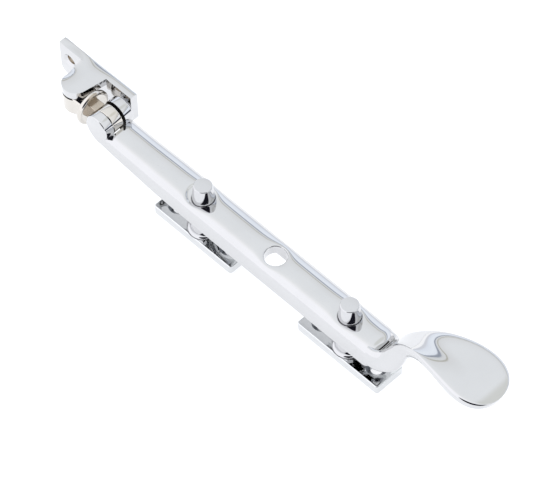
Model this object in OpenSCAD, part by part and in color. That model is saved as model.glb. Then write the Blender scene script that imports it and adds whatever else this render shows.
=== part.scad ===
// Casement window stay: a sash bracket with a swivel joint, a lifting arm that ends in a raised
// spoon, and two pins on plates. X runs along the arm, Y into the sash and Z up. The origin is
// the middle of the sash plate's back face, which bears on the sash.

/* [Sash bracket] */
// Length of the sash plate along the arm
plate_len = 38.2; // [34:0.1:44]
// Height of the sash plate
plate_h = 16.2; // [14:0.1:20]
// Thickness of the sash plate
plate_t = 3.3; // [2.5:0.1:4.5]
// Radius of the plate's two lower corners
plate_corner_r = 3.5; // [1:0.1:6]
// Distance between the two sash screws
sash_screw_pitch = 28.2; // [26:0.1:30]
// Drop of the screw centres below the plate's top
sash_screw_drop = 7.3; // [6:0.1:9]
// Diameter of the sash screw holes
sash_hole_d = 4.2; // [3.5:0.1:4.6]
// Diameter of the sash screw countersinks at the face
sash_sink_d = 6.2; // [5.2:0.1:7.4]
// Radius of the lug's rounded end
lug_r = 5.5; // [5.4:0.1:6]
// Thickness of the lug
lug_t = 3.4; // [3:0.1:4]
// Half-width of the lug where it meets the plate
lug_flare = 6.9; // [6:0.1:8]
// Distance from the plate's front face to the pivot axis
pivot_reach = 8.6; // [8.4:0.1:10]
// Offset of the pivot axis from the plate's middle, away from the arm
pivot_offset = 0.8; // [0:0.1:1.5]

/* [Swivel block] */
// Radius of the upright barrel
barrel_r = 5.4; // [5:0.1:5.6]
// Height of the upright barrel
barrel_h = 9.5; // [8:0.1:10]
// Radius of the round shoulder that faces the arm
shoulder_r = 7.3; // [6.6:0.1:7.4]
// Distance from the plate's middle to the hinge axis
hinge_x = 16.9; // [16.5:0.1:19]
// Width of the tongue between the arm's ears
tongue_w = 4.8; // [4:0.1:5.2]
// Radius of the tongue's round end
tongue_r = 5.3; // [4.6:0.1:5.4]
// Height of the hinge axis above the sash plate's middle
hinge_z = 2.45; // [2:0.05:3]
// Diameter of the pivot rivet
rivet_d = 5; // [4:0.1:6]
// Diameter of the hinge pin
hinge_pin_d = 3.2; // [2.5:0.1:4]

/* [Arm] */
// Width of the arm
arm_w = 14.4; // [14:0.1:15]
// Radius of the rounded ears
ear_r = 5.4; // [5.2:0.1:5.5]
// Width of the slot between the ears
slot_w = 6; // [5.8:0.1:6.6]
// Depth of the arm, from its top to its underside
arm_h = 10.1; // [9:0.1:11]
// Drop of the arm's top below the hinge axis
arm_drop = 1.35; // [1:0.05:2]
// Thickness of the arm's top web
web_t = 4.8; // [4:0.1:5.5]
// Thickness of the arm's side walls
wall_t = 1.5; // [1.2:0.1:1.7]
// Width of the flat along the arm's crown
crown_w = 6.6; // [5:0.1:9]
// Drop of the rounded shoulders beside the crown
crown_drop = 2.1; // [1:0.1:3]
// Distance from the plate's middle to the first pin hole
first_hole = 65.9; // [60:0.1:70]
// Distance from one pin hole to the next
hole_pitch = 37; // [34:0.1:38]
// Diameter of the pin holes
hole_d = 8.6; // [8.5:0.1:9.4]
// Distance from the plate's middle to the end of the straight bar
bar_end = 157.3; // [156:0.1:158]

/* [Spoon] */
// Distance from the plate's middle to the spoon's tip
spoon_tip = 211.1; // [207:0.1:213]
// Width the spoon's sides flare towards
spoon_w = 23.5; // [20:0.1:25]
// Thickness of the spoon's blade
spoon_t = 3.3; // [3:0.1:4]
// Narrowest part of the neck
neck_w = 7.6; // [6.4:0.1:8.6]
// Height of the spoon above the sash plate's middle
spoon_z = 25.1; // [23:0.1:27]

/* [Pins and plates] */
// Diameter of the pins where they fill the holes
pin_d = 8.42; // [8:0.01:8.44]
// Diameter of the flat on top of each pin
pin_top_d = 6.4; // [5:0.1:7]
// Height of the pins above the arm's top
pin_rise = 6.5; // [5:0.1:8]
// Diameter of the collar under each pin
collar_d = 10.8; // [10:0.1:11]
// Length of the pin plates along the arm
pin_plate_len = 40.2; // [38:0.1:44]
// Width of the pin plates
pin_plate_w = 13.6; // [13:0.1:15]
// Thickness of the pin plates
pin_plate_t = 4.1; // [3.5:0.1:5]
// Drop of the pin plates' tops below the sash plate's middle
pin_plate_drop = 16.9; // [16:0.1:18]
// Distance between the two screws in a pin plate
pin_screw_pitch = 26.8; // [26:0.1:29]
// Diameter of the pin plate's screw holes
pin_hole_d = 4.6; // [4:0.1:5]
// Diameter of the pin plate's countersinks at the face
pin_sink_d = 8.6; // [7.5:0.1:9]

/* [Hidden] */
$fn = 72;

eps = 0.01;                                  // overlap that makes cuts and joints clean
running = 0.05;                              // radial clearance of the turning fits
gap = 0.06;                                  // end clearance between pieces that turn
through = 60;                                // longer than any cut has to be

pivot_x = -pivot_offset;
pivot_y = -(plate_t + pivot_reach);          // the arm's centre line
plate_top = plate_h / 2;
lug_bottom = plate_top - lug_t;
lug_turn = atan2(pivot_reach, lug_flare) - acos(lug_r / norm([lug_flare, pivot_reach]));
scoop_r = 8;                                 // hollow ground into the lug's side away from the arm
scoop_at = [-11.5, -9];                      // its centre in plan
scoop_rise = 0.16;                           // slope at the hollow's edge
scoop_bend = 0.052;                          // growth of its depth with the square of the distance

washer_t = 0.5;
washer_r = 5.2;
barrel_top = lug_bottom - washer_t - gap;
barrel_bottom = barrel_top - barrel_h;
rivet_head_t = 1.3;
rivet_head_r = 4.3;
rivet_depth = 2.2;                           // how far the rivet goes into the lug

shoulder_x = hinge_x - 10.65;                // back of the shoulder
shoulder_t = 2.3;
shoulder_z = hinge_z - 1.95;
shoulder_edge = 0.9;                         // rounding on the shoulder's rim
dish_depth = 0.9;                            // hollow of the shoulder's face
block_half = 4.6;                            // half-width of the web between barrel and shoulder
tongue_neck_h = 7.4;
tongue_neck_drop = 4.9;                      // from the hinge axis down to the underside of the neck
tongue_shift = -0.45;                        // the tongue lies towards the near ear
ear_low_r = 7.8;                             // deeper curve under the ears
ear_low_x = hinge_x + 2.3;
fork_slope = 10.3;                           // angle at which that curve runs into the bar
slot_root = hinge_x + 5.6;
hinge_skin = 1;                              // blind end of the hinge pin's hole

arm_top = hinge_z - arm_drop;
arm_bottom = arm_top - arm_h;
bar_start = ear_low_x - ear_low_r * sin(fork_slope);
fork_bottom = hinge_z - ear_low_r * cos(fork_slope);
fork_run = (fork_bottom - arm_bottom) / tan(fork_slope);
waist = 0.3;                                 // taken off each side behind the fork
waist_end = 34;
waist_run = 16;                              // length over which the sides reach full width
channel_start = 38;
channel_end = bar_end - 9;
channel_w = arm_w - 2 * wall_t;
bar_corner = 3.6;                            // plan rounding at the end of the bar
bar_heel = 4.2;                              // rounding under the end of the bar
bar_brow = 2;                                // length of the rounding over the end of the bar
hole_xs = [for (i = [0:2]) first_hole + i * hole_pitch];

plate_face = -pin_plate_drop;
collar_top = arm_top - web_t - gap;
foot_r = 1.6;                                // flare at the foot of each collar
foot_edge = 0.15;                            // upright edge round that foot
pin_straight = 0.4;                          // how far the full diameter rises above the arm
tenon_d = 6;
pin_edge = 0.35;                             // rounding round the top of each pin
pin_plate_corner = 1.2;

// Spoon sweep: a line of two cubic curves in the X-Z plane, with its section square to it
neck_start = [bar_end - 3.8, arm_bottom + 5.1];
neck_join = [bar_end + 17.4, spoon_z - 6.4];
neck_rise = [1, 0.886];                      // way the neck climbs where the curves meet
neck_curve = [neck_start, neck_start + [13, 0], neck_join - 13.2 * neck_rise, neck_join];
blade_curve = [neck_join, neck_join + 10.8 * neck_rise, [spoon_tip - 12.8, spoon_z + 1.5],
               [spoon_tip, spoon_z - 2.2]];
ring_sides = 28;
neck_rings = 16;
blade_rings = 26;
neck_run = 10.6;                             // length over which the sides sweep in
neck_x = neck_start[0] + neck_run;           // where the neck is narrowest
flank_power = 7;                             // 2 rounds the section's flanks, more squares them
face_power = 3;                              // the same for its top and underside
flare_power = 0.77;                          // below 1 widens the blade sooner
flare_full = 0.86;                           // share of the way where the blade is widest
tip_power = 9.7;                             // higher squares the tip
tip_thinning = 0.25;                         // share of the thickness lost at the tip
root_extra = 2.3;                            // added half-thickness where the neck leaves the bar
root_run = 27;                               // length over which that fades

function smooth(t) = let (c = max(0, min(1, t))) c * c * (3 - 2 * c);
function cubic(p, t) = pow(1 - t, 3) * p[0] + 3 * t * pow(1 - t, 2) * p[1]
                     + 3 * t * t * (1 - t) * p[2] + pow(t, 3) * p[3];
function cubic_way(p, t) = pow(1 - t, 2) * (p[1] - p[0]) + 2 * t * (1 - t) * (p[2] - p[1])
                         + t * t * (p[3] - p[2]);
// Share of the way from the neck to the tip
function along(x) = max(0, min(1, (x - neck_x) / (spoon_tip + 0.02 - neck_x)));
function half_width(x) =
    x < neck_x ? neck_w / 2 + (arm_w - neck_w) / 2 * (1 - smooth((x - neck_start[0]) / neck_run))
               : (neck_w / 2 + (spoon_w - neck_w) / 2 * pow(smooth(along(x) / flare_full), flare_power))
                 * sqrt(1 - pow(along(x), tip_power));
function half_thick(x) = spoon_t / 2 * (1 - tip_thinning * pow(along(x), 12))
                       + root_extra * (1 - smooth((x - bar_end - 2.7) / root_run));
function squared(c, power) = sign(c) * pow(abs(c), 2 / power);
// One ring of the sweep, at point p with direction d along the sweep
function ring(p, d) =
    let (u = d / norm(d), a = half_width(p[0]), b = half_thick(p[0]))
    [for (i = [0:ring_sides - 1])
        let (t = 360 * i / ring_sides, s = a * squared(cos(t), flank_power),
             h = b * squared(sin(t), face_power))
        [p[0] - u[1] * h, pivot_y + s, p[1] + u[0] * h]];
// Steps crowd together towards the tip, where the outline turns quickly
function crowd(t) = 1 - pow(1 - t, 2.2);
spoon_rings = concat(
    [for (i = [0:neck_rings - 1]) let (t = i / neck_rings)
        ring(cubic(neck_curve, t), cubic_way(neck_curve, t))],
    [for (i = [0:blade_rings]) let (t = crowd(i / blade_rings))
        ring(cubic(blade_curve, t), cubic_way(blade_curve, t))]);
// Underside of the arm, which deepens away from the fork
function underside(x) = arm_bottom + (fork_bottom - arm_bottom) * exp((bar_start - x) / fork_run);
// Half of the arm's width, slightly waisted behind the fork
function arm_half(x) = arm_w / 2 - waist * (1 - smooth((x - waist_end) / waist_run));

module along_y(x, z, d, from, to) {
    translate([x, to, z])
        rotate([90, 0, 0])
            cylinder(d = d, h = to - from);
}

module countersunk(d, sink_d, t) {
    sink = (sink_d - d) / 2;
    translate([0, 0, -eps]) cylinder(d = d, h = t + 2 * eps);
    translate([0, 0, t - sink]) cylinder(d1 = d, d2 = sink_d, h = sink + eps);
}

module lug_outline() {
    side = lug_r * [cos(lug_turn), sin(lug_turn)];
    translate([pivot_x, pivot_y]) union() {
        circle(r = lug_r);
        polygon([[-lug_flare, pivot_reach + eps], [-side[0], side[1]], side,
                 [lug_flare, pivot_reach + eps]]);
    }
}

// The ground hollow: everything above a dish that deepens towards its centre
module scoop() {
    steps = 6;
    reach = scoop_r - 2;
    intersection() {
        translate([scoop_at[0], scoop_at[1], 0]) rotate_extrude($fn = 96) polygon(concat(
            [[scoop_r, plate_top + lug_t], [0, plate_top + lug_t]],
            [for (i = [steps:-1:0])
                let (s = reach * i / steps)
                [scoop_r - s, plate_top - scoop_rise * s - scoop_bend * s * s]]));
        translate([-through / 2, -plate_t - through, 0]) cube(through);
    }
}

module sash_bracket() {
    color("gainsboro") difference() {
        union() {
            rotate([90, 0, 0]) linear_extrude(plate_t) union() {
                translate([-plate_len / 2, plate_corner_r - plate_top])
                    square([plate_len, plate_h - plate_corner_r]);
                translate([plate_corner_r - plate_len / 2, -plate_top])
                    square([plate_len - 2 * plate_corner_r, plate_h]);
                for (side = [-1, 1])
                    translate([side * (plate_len / 2 - plate_corner_r), plate_corner_r - plate_top])
                        circle(r = plate_corner_r);
            }
            translate([0, 0, lug_bottom]) linear_extrude(lug_t) lug_outline();
        }
        for (side = [-1, 1])
            translate([side * sash_screw_pitch / 2, 0, plate_top - sash_screw_drop])
                rotate([90, 0, 0]) countersunk(sash_hole_d, sash_sink_d, plate_t);
        translate([pivot_x, pivot_y, lug_bottom - eps]) cylinder(d = rivet_d, h = rivet_depth + eps);
        scoop();
    }
}

module pivot_rivet() {
    color("silver") translate([pivot_x, pivot_y, 0]) {
        translate([0, 0, barrel_bottom - gap - rivet_head_t])
            cylinder(r1 = rivet_head_r - 0.6, r2 = rivet_head_r, h = rivet_head_t);
        translate([0, 0, barrel_bottom - gap - eps])
            cylinder(d = rivet_d, h = lug_bottom + rivet_depth - barrel_bottom + gap + eps);
    }
}

module pivot_washer() {
    color("darkgray") translate([pivot_x, pivot_y, lug_bottom - washer_t]) difference() {
        cylinder(r = washer_r, h = washer_t);
        translate([0, 0, -eps]) cylinder(d = rivet_d + 2 * running, h = washer_t + 2 * eps);
    }
}

// Round shoulder with a softened rim and a dished face, standing square to the arm
module shoulder() {
    e = shoulder_edge;
    dish_r = shoulder_r - 1.1;
    sphere_r = (dish_r * dish_r + dish_depth * dish_depth) / (2 * dish_depth);
    translate([shoulder_x, pivot_y, shoulder_z]) rotate([0, 90, 0]) difference() {
        rotate_extrude() {
            square([shoulder_r - e, shoulder_t]);
            translate([0, e]) square([shoulder_r, shoulder_t - 2 * e]);
            for (z = [e, shoulder_t - e])
                translate([shoulder_r - e, z]) circle(r = e, $fn = 20);
        }
        translate([0, 0, shoulder_t + sphere_r - dish_depth]) sphere(r = sphere_r);
    }
}

module swivel_block() {
    tongue_y = pivot_y + tongue_shift;
    color("gainsboro") difference() {
        union() {
            translate([pivot_x, pivot_y, barrel_bottom]) cylinder(r = barrel_r, h = barrel_h);
            shoulder();
            translate([0, pivot_y - block_half, shoulder_z - block_half])
                cube([shoulder_x + 1, 2 * block_half, barrel_top - shoulder_z + block_half]);
            translate([shoulder_x + 1, tongue_y - tongue_w / 2, hinge_z - tongue_neck_drop])
                cube([hinge_x - shoulder_x - 1, tongue_w, tongue_neck_h]);
            along_y(hinge_x, hinge_z, 2 * tongue_r, tongue_y - tongue_w / 2,
                    tongue_y + tongue_w / 2);
        }
        translate([pivot_x, pivot_y, barrel_bottom - eps])
            cylinder(d = rivet_d + 2 * running, h = barrel_h + 2 * eps);
        along_y(hinge_x, hinge_z, hinge_pin_d + 2 * running, pivot_y - through / 2,
                pivot_y + through / 2);
    }
}

module hinge_pin() {
    color("silver")
        along_y(hinge_x, hinge_z, hinge_pin_d, pivot_y - arm_w / 2 + hinge_skin,
                pivot_y + arm_half(0));
}

// Side view of the bar, from the fork to its end
module bar_side() {
    steps = 14;
    turns = 6;
    polygon(concat(
        [for (i = [0:turns]) let (a = 90 * i / turns)
            [bar_end - bar_brow + bar_brow * cos(a), arm_top - crown_drop + crown_drop * sin(a)]],
        [[bar_start, arm_top]],
        [for (i = [0:steps])
            let (x = bar_start + (channel_end - bar_start) * pow(i / steps, 1.6))
            [x, underside(x)]],
        [for (i = [0:turns]) let (a = 90 * i / turns)
            [bar_end - bar_heel + bar_heel * sin(a), arm_bottom + bar_heel - bar_heel * cos(a)]]));
}

// Crowned cross-section: Y across, Z up
module bar_section() {
    steps = 10;
    shoulder_w = (arm_w - crown_w) / 2;
    polygon(concat(
        [[-arm_w / 2, arm_bottom - 1], [arm_w / 2, arm_bottom - 1]],
        [for (i = [0:steps]) let (a = 90 * i / steps)
            [crown_w / 2 + shoulder_w * cos(a), arm_top - crown_drop + crown_drop * sin(a)]],
        [for (i = [steps:-1:0]) let (a = 90 * i / steps)
            [-crown_w / 2 - shoulder_w * cos(a), arm_top - crown_drop + crown_drop * sin(a)]]));
}

// Plan of the bar, with its waist and its rounded end
module bar_plan() {
    steps = 8;
    xs = [for (i = [0:steps]) waist_end + waist_run * i / steps];
    corner = [for (i = [0:6]) let (a = 15 * i)
        [bar_end - bar_corner + bar_corner * sin(a), arm_w / 2 - bar_corner + bar_corner * cos(a)]];
    half = concat([[0, arm_half(0)]], [for (x = xs) [x, arm_half(x)]], corner);
    polygon(concat(half, [for (i = [len(half) - 1:-1:0]) [half[i][0], -half[i][1]]]));
}

module bar() {
    translate([0, pivot_y, 0]) intersection() {
        translate([0, through / 2, 0]) rotate([90, 0, 0]) linear_extrude(through) bar_side();
        rotate([90, 0, 90]) linear_extrude(2 * spoon_tip) bar_section();
        translate([0, 0, -through / 2]) linear_extrude(through) bar_plan();
    }
}

// Round ears, with a deeper curve below the hinge axis
module ears() {
    half = arm_half(0);
    along_y(hinge_x, hinge_z, 2 * ear_r, pivot_y - half, pivot_y + half);
    translate([0, pivot_y + half, 0]) rotate([90, 0, 0]) linear_extrude(2 * half) intersection() {
        translate([ear_low_x, hinge_z]) circle(r = ear_low_r);
        translate([0, hinge_z - through]) square([bar_start + eps, through]);
    }
}

module channel() {
    round_w = channel_w / 2;
    translate([0, pivot_y, arm_bottom - 1]) linear_extrude(arm_h - web_t + 1) union() {
        translate([channel_start + round_w, -channel_w / 2])
            square([channel_end - channel_start - 2 * round_w, channel_w]);
        for (x = [channel_start + round_w, channel_end - round_w])
            translate([x, 0]) circle(d = channel_w);
    }
}

module spoon() {
    last = len(spoon_rings) - 1;
    n = ring_sides;
    polyhedron(
        points = [for (r = spoon_rings) for (p = r) p],
        faces = concat(
            [[for (i = [0:n - 1]) i]],
            [for (j = [0:last - 1]) for (i = [0:n - 1])
                [j * n + i, (j + 1) * n + i, (j + 1) * n + (i + 1) % n, j * n + (i + 1) % n]],
            [[for (i = [n - 1:-1:0]) last * n + i]]));
}

module stay_arm() {
    color("gainsboro") difference() {
        union() {
            bar();
            ears();
            spoon();
        }
        translate([-through + slot_root, pivot_y - slot_w / 2, -through / 2])
            cube([through, slot_w, through]);
        along_y(hinge_x, hinge_z, hinge_pin_d, pivot_y - arm_w / 2 + hinge_skin,
                pivot_y + through);
        channel();
        for (x = hole_xs)
            translate([x, pivot_y, arm_bottom - 1]) cylinder(d = hole_d, h = arm_h + 2);
    }
}

// A turned pin: flared foot, collar, shank that fills the hole, and a tapered head
module stay_pin(x) {
    head = arm_top + pin_rise;
    color("silver") translate([x, pivot_y, 0]) rotate_extrude()
        polygon(concat(
            [[0, plate_face - pin_plate_t], [tenon_d / 2, plate_face - pin_plate_t],
             [tenon_d / 2, plate_face], [collar_d / 2 + foot_r, plate_face]],
            [for (a = [0:18:90])
                [collar_d / 2 + foot_r * (1 - sin(a)), plate_face + foot_edge + foot_r * (1 - cos(a))]],
            [[collar_d / 2, collar_top], [pin_d / 2, collar_top],
             [pin_d / 2, arm_top + pin_straight], [pin_top_d / 2 + pin_edge / 2, head - pin_edge],
             [pin_top_d / 2, head], [0, head]]));
}

module pin_plate(x) {
    r = pin_plate_corner;
    color("gainsboro") translate([x, pivot_y, plate_face - pin_plate_t]) difference() {
        linear_extrude(pin_plate_t) union() {
            square([pin_plate_len - 2 * r, pin_plate_w], center = true);
            square([pin_plate_len, pin_plate_w - 2 * r], center = true);
            for (sx = [-1, 1])
                for (sy = [-1, 1])
                    translate([sx * (pin_plate_len / 2 - r), sy * (pin_plate_w / 2 - r)])
                        circle(r = r, $fn = 32);
        }
        for (side = [-1, 1])
            translate([side * pin_screw_pitch / 2, 0, 0])
                countersunk(pin_hole_d, pin_sink_d, pin_plate_t);
        translate([0, 0, -eps]) cylinder(d = tenon_d, h = pin_plate_t + 2 * eps);
    }
}

sash_bracket();
pivot_rivet();
pivot_washer();
swivel_block();
hinge_pin();
stay_arm();
stay_pin(hole_xs[0]);  // stay_pin_near
stay_pin(hole_xs[2]);  // stay_pin_far
pin_plate(hole_xs[0]);  // pin_plate_near
pin_plate(hole_xs[2]);  // pin_plate_far
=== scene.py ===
import math

import bmesh
import bpy
from mathutils import Matrix, Vector


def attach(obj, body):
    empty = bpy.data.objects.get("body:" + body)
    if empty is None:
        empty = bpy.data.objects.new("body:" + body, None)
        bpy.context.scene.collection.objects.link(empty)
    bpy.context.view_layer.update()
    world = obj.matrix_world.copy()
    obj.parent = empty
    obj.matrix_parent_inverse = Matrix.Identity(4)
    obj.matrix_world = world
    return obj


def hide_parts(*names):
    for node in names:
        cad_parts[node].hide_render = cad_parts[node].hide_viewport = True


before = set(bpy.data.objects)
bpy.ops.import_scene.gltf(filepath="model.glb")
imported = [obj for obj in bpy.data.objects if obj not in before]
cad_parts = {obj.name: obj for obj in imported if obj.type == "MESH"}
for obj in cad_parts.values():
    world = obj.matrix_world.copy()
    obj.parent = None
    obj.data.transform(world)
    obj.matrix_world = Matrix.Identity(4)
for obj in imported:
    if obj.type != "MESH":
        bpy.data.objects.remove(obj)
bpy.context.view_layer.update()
MM = 0.001

# ---------------------------------------------------------------- sizes, in millimetres
# Most repeat part.scad's, so that each piece fills the place of its CAD node.
GAP, WASHER_T = 0.06, 0.5

# bracket
PIVOT_X, PIVOT_Y = -0.8, -11.9
PLATE_LEN, PLATE_H, PLATE_T = 38.2, 16.2, 3.3
PLATE_TOP = PLATE_H / 2
PLATE_CORNER, PLATE_EDGE = 3.5, 0.35
SASH_PITCH, SASH_DROP, SASH_HOLE, SASH_SINK = 28.2, 7.3, 4.2, 6.2
SINK_FLARE, SINK_FLARE_UP = 0.5, 0.35
LUG_R, LUG_T, LUG_FLARE, PIVOT_REACH = 5.5, 3.4, 6.9, 8.6
LUG_BOTTOM = PLATE_TOP - LUG_T
SCOOP_R, SCOOP_X, SCOOP_Y, SCOOP_RISE, SCOOP_BEND = 8.0, -11.5, -9.0, 0.16, 0.052
SCOOP_DEEPEST = SCOOP_R * 0.75
RIVET_R, RIVET_DEPTH = 2.5, 2.2

# swivel block
BARREL_R, BARREL_H, BARREL_FOOT = 5.4, 9.5, 1.6
BARREL_TOP = LUG_BOTTOM - WASHER_T - GAP
BARREL_BOTTOM = BARREL_TOP - BARREL_H
GROOVE, GROOVE_DEPTH = 0.55, 0.35
RIVET_WELL_R = 2.55
HINGE_X, HINGE_Z = 16.9, 2.45
SHOULDER_X, SHOULDER_T, SHOULDER_R, SHOULDER_Z = 6.25, 2.3, 7.3, 0.5
SHOULDER_RIM, SHOULDER_EDGE, DISH_DEPTH = 1.1, 0.95, 0.9
BLOCK_HALF, BLOCK_EDGE = 4.6, 0.8
TONGUE_W, TONGUE_R, TONGUE_SHIFT = 4.8, 5.3, -0.45
TONGUE_DROP, TONGUE_RISE, TONGUE_EDGE, TONGUE_ROUND = 4.9, 2.5, 0.4, 0.45
PIN_BORE = 3.3

# arm
ARM_W, ARM_TOP, ARM_BOTTOM, WEB_T, WALL_T = 14.4, 1.1, -9.0, 4.8, 1.5
CROWN_DROP = 2.1
EAR_R, EAR_LOW_R, EAR_LOW_X, FORK_SLOPE = 5.4, 7.8, 19.2, math.radians(10.3)
EAR_EDGE = 0.5
SLOT_W, SLOT_ROOT = 6.0, 22.5
HINGE_PIN_R, HINGE_SKIN = 1.6, 1
HOLES = (65.9, 102.9, 139.9)
HOLE_R = 4.3
BAR_START = EAR_LOW_X - EAR_LOW_R * math.sin(FORK_SLOPE)
FORK_BOTTOM = HINGE_Z - EAR_LOW_R * math.cos(FORK_SLOPE)
BAR_END = 157.3
CHANNEL = (38.0, BAR_END - 9)
SPOON_TIP, SPOON_W, SPOON_T, NECK_W, SPOON_Z = 211.1, 23.5, 3.3, 7.6, 25.1

# pins and their plates
PIN_FACE = -16.9
PIN_PLATE = (40.2, 13.6, 4.1)
PIN_PLATE_CORNER, PIN_PLATE_EDGE = 1.3, 0.45
PIN_PITCH, PIN_HOLE, PIN_SINK = 26.8, 4.6, 8.6
PIN_R, PIN_TOP_R, PIN_RISE, COLLAR_R, FOOT_R, TENON_R = 4.21, 3.5, 6.5, 5.4, 1.4, 3.0
PIN_STRAIGHT, COLLAR_EDGE, PIN_BEND, PIN_EDGE = 0.4, 0.4, 1.5, 0.45
FOOT_GAP = 0.01

# How far a cutter runs past the solid it cuts, where it starts or ends close by, and where it goes
# right through.
CLEAR, THROUGH, FAR_AWAY = 1, 30, 40


# ---------------------------------------------------------------- mesh tools
SMOOTH_ANGLE = math.radians(32)
PIVOT = Matrix.Translation((PIVOT_X, PIVOT_Y, 0))


def clean(bm):
    """Merge doubled vertices and turn every face outwards."""
    bmesh.ops.remove_doubles(bm, verts=bm.verts, dist=1e-4)
    bmesh.ops.recalc_face_normals(bm, faces=bm.faces)


def to_object(bm, name):
    mesh = bpy.data.meshes.new(name)
    bm.to_mesh(mesh)
    bm.free()
    obj = bpy.data.objects.new(name, mesh)
    bpy.context.scene.collection.objects.link(obj)
    return obj


def piece(bm, name, body, replaces):
    """Turn a bmesh in millimetres into a piece that rides on a body."""
    clean(bm)
    for face in bm.faces:
        face.smooth = True
    for edge in bm.edges:
        edge.smooth = len(edge.link_faces) != 2 or edge.calc_face_angle(0) < SMOOTH_ANGLE
    bmesh.ops.scale(bm, vec=(MM, MM, MM), verts=bm.verts)
    obj = to_object(bm, name)
    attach(obj, body)
    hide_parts(*replaces)
    return obj


def discard(obj):
    mesh = obj.data
    bpy.data.objects.remove(obj)
    bpy.data.meshes.remove(mesh)


def settle(obj):
    """Apply obj's modifiers, delete it and give back its mesh as a bmesh."""
    bm = bmesh.new()
    bm.from_object(obj, bpy.context.evaluated_depsgraph_get())
    discard(obj)
    return bm


def combine(bm, steps):
    """Apply exact booleans, [(operation, bmesh), ...], to bm."""
    clean(bm)
    obj = to_object(bm, "scratch")
    cutters = []
    for operation, other in steps:
        clean(other)
        cutter = to_object(other, "cutter")
        cutters.append(cutter)
        mod = obj.modifiers.new("cut", "BOOLEAN")
        mod.operation, mod.solver, mod.object = operation, "EXACT", cutter
    result = settle(obj)
    for cutter in cutters:
        discard(cutter)
    return result


def bevelled(bm, width, segments=4, angle=32):
    """Round every edge sharper than angle, by width."""
    clean(bm)
    obj = to_object(bm, "scratch")
    mod = obj.modifiers.new("round", "BEVEL")
    mod.width, mod.segments, mod.limit_method = width, segments, "ANGLE"
    mod.angle_limit = math.radians(angle)
    mod.use_clamp_overlap = True
    mod.miter_outer = "MITER_ARC"
    return settle(obj)


def band(bm, low, high):
    """Join two closed rings of vertices with faces. A ring of one vertex is a point."""
    count = max(len(low), len(high))
    for i in range(count):
        j = (i + 1) % count
        corners = [low[i % len(low)], low[j % len(low)], high[j % len(high)], high[i % len(high)]]
        unique = list(dict.fromkeys(corners))
        if len(unique) > 2:
            bm.faces.new(unique)


def prism(outline, low, high, place=Matrix.Identity(4)):
    """Extrude a closed (x, y) outline from z=low to z=high, then place it."""
    bm = bmesh.new()
    base = [bm.verts.new((x, y, low)) for x, y in outline]
    top = [bm.verts.new((x, y, high)) for x, y in outline]
    bm.faces.new(base)
    bm.faces.new(top)
    band(bm, base, top)
    bm.transform(place)
    return bm


def box(low, high):
    (x0, y0, z0), (x1, y1, z1) = low, high
    return prism([(x0, y0), (x1, y0), (x1, y1), (x0, y1)], z0, z1)


def lathe(profile, place=Matrix.Identity(4), sides=96):
    """Turn a profile of (radius, height) points about Z, closed at radius 0."""
    bm = bmesh.new()
    turns = [2 * math.pi * i / sides for i in range(sides)]
    rings = []
    for radius, height in profile:
        spread = turns if radius > 1e-6 else [0]
        rings.append([bm.verts.new((radius * math.cos(turn), radius * math.sin(turn), height))
                      for turn in spread])
    for low, high in zip(rings, rings[1:]):
        band(bm, low, high)
    bm.transform(place)
    return bm


def rod(radius, low, high, place, sides):
    return lathe([(0, low), (radius, low), (radius, high), (0, high)], place, sides)


def fillet(points, radii, steps=6):
    """Round the corners of an open polyline: radii gives one radius for each point."""
    out = []
    for i, point in enumerate(points):
        radius = radii[i]
        if radius == 0 or i in (0, len(points) - 1):
            out.append(point)
            continue
        p = Vector(point)
        a = (Vector(points[i - 1]) - p).normalized()
        b = (Vector(points[i + 1]) - p).normalized()
        half = a.angle(b) / 2
        reach = radius / math.tan(half)
        centre = p + (a + b).normalized() * (radius / math.sin(half))
        u, v = p + a * reach - centre, p + b * reach - centre
        sweep = u.angle(v)
        for k in range(steps + 1):
            t = k / steps
            first = math.sin((1 - t) * sweep) / math.sin(sweep)
            second = math.sin(t * sweep) / math.sin(sweep)
            out.append(tuple(centre + (u * first + v * second)))
    return out


def arc(cx, cy, radius, start, end, steps):
    return [(cx + radius * math.cos(math.radians(start + (end - start) * i / steps)),
             cy + radius * math.sin(math.radians(start + (end - start) * i / steps)))
            for i in range(steps + 1)]


def about_y(x, y, z):
    """Place a lathed piece on an axis along -Y, starting at (x, y, z)."""
    return Matrix.Translation((x, y, z)) @ Matrix.Rotation(math.radians(90), 4, "X")


def about_x(x, y, z):
    return Matrix.Translation((x, y, z)) @ Matrix.Rotation(math.radians(90), 4, "Y")


def drum(x, z, radius, from_y, to_y, edge, sides):
    """A round piece across the arm, with rounded edges."""
    length = to_y - from_y
    profile = fillet([(0, 0), (radius, 0), (radius, length), (0, length)], [0, edge, edge, 0], 4)
    return lathe(profile, about_y(x, to_y, z), sides)


def smooth(t):
    """0 below 0, 1 above 1, and an S-curve between them."""
    c = max(0.0, min(1.0, t))
    return c * c * (3 - 2 * c)


def screw_hole(hole, sink, thick):
    """The profile of a cutter for a countersunk hole in a plate: hole and sink are its diameters."""
    wide = sink / 2 + SINK_FLARE
    return [(0, -CLEAR), (hole / 2, -CLEAR), (hole / 2, thick - (sink - hole) / 2), (sink / 2, thick),
            (wide, thick + SINK_FLARE_UP)]


# ---------------------------------------------------------------- bracket
# The wheel has worn the top in a band along the back edge, widest at WORN_X, and in a ring round
# the hollow. A rate is how fast the wear grows. It starts at POLISH_START over the lug's underside
# and is full POLISH_FADE higher.
WORN_BAND, WORN_EXTRA, WORN_X, WORN_SPREAD, WORN_RATE = 2.7, 2.3, -2, 7, 0.1
RING_W, RING_RATE = 4.5, 0.08
POLISH_START, POLISH_FADE = 1, 1.5
SLICE = 0.6


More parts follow.
